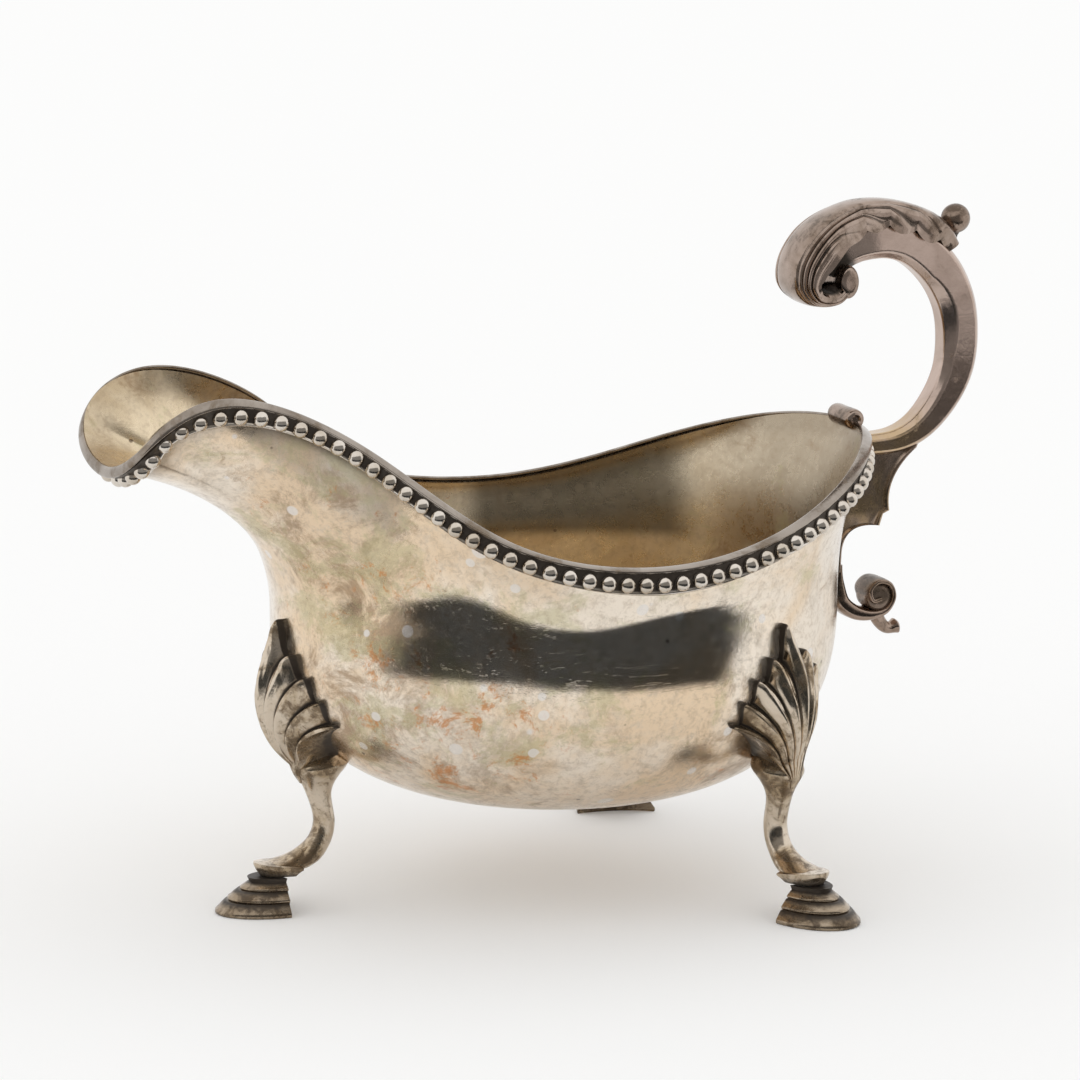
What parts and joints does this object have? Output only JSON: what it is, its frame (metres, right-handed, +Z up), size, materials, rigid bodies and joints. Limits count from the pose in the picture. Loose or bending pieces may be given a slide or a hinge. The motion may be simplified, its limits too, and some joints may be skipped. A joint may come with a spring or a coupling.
{
  "type": "sauce boat",
  "caption": "Silver sauce boat: raised oval bowl with a flared pouring lip and beaded rim, a flying scroll handle with a leaf cap, and shell-knuckle legs on stepped hoof feet.",
  "frame": {"origin": "on the table, on the boat's centre plane, midway between the pouring lip and the handle's outermost point", "axes": "+X from the pouring lip to the handle, +Y to the boat's left side seen from the handle, +Z up"},
  "size_m": [0.1884, 0.1192, 0.1348],
  "materials": {
    "raised_silver": "tarnished silver, raised sheet, warm cream with brown patches",
    "drawn_silver": "tarnished silver wire, dark in its hollows",
    "cast_silver": "tarnished cast silver, dark in its recesses",
    "dark_silver": "heavily tarnished cast silver"
  },
  "bodies": {
    "root": {"body_shell": "raised_silver", "rim_wire": "drawn_silver", "bead_strip_left": "drawn_silver", "bead_strip_right": "drawn_silver", "handle_scroll_arm": "cast_silver", "handle_leaf_cap": "cast_silver", "handle_ball_knop": "cast_silver", "handle_rim_scroll": "cast_silver", "handle_lower_bracket": "cast_silver", "leg_front": "cast_silver", "leg_rear_left": "cast_silver", "leg_rear_right": "cast_silver", "foot_front": "dark_silver", "foot_rear_left": "dark_silver", "foot_rear_right": "dark_silver"}
  },
  "joints": []
}
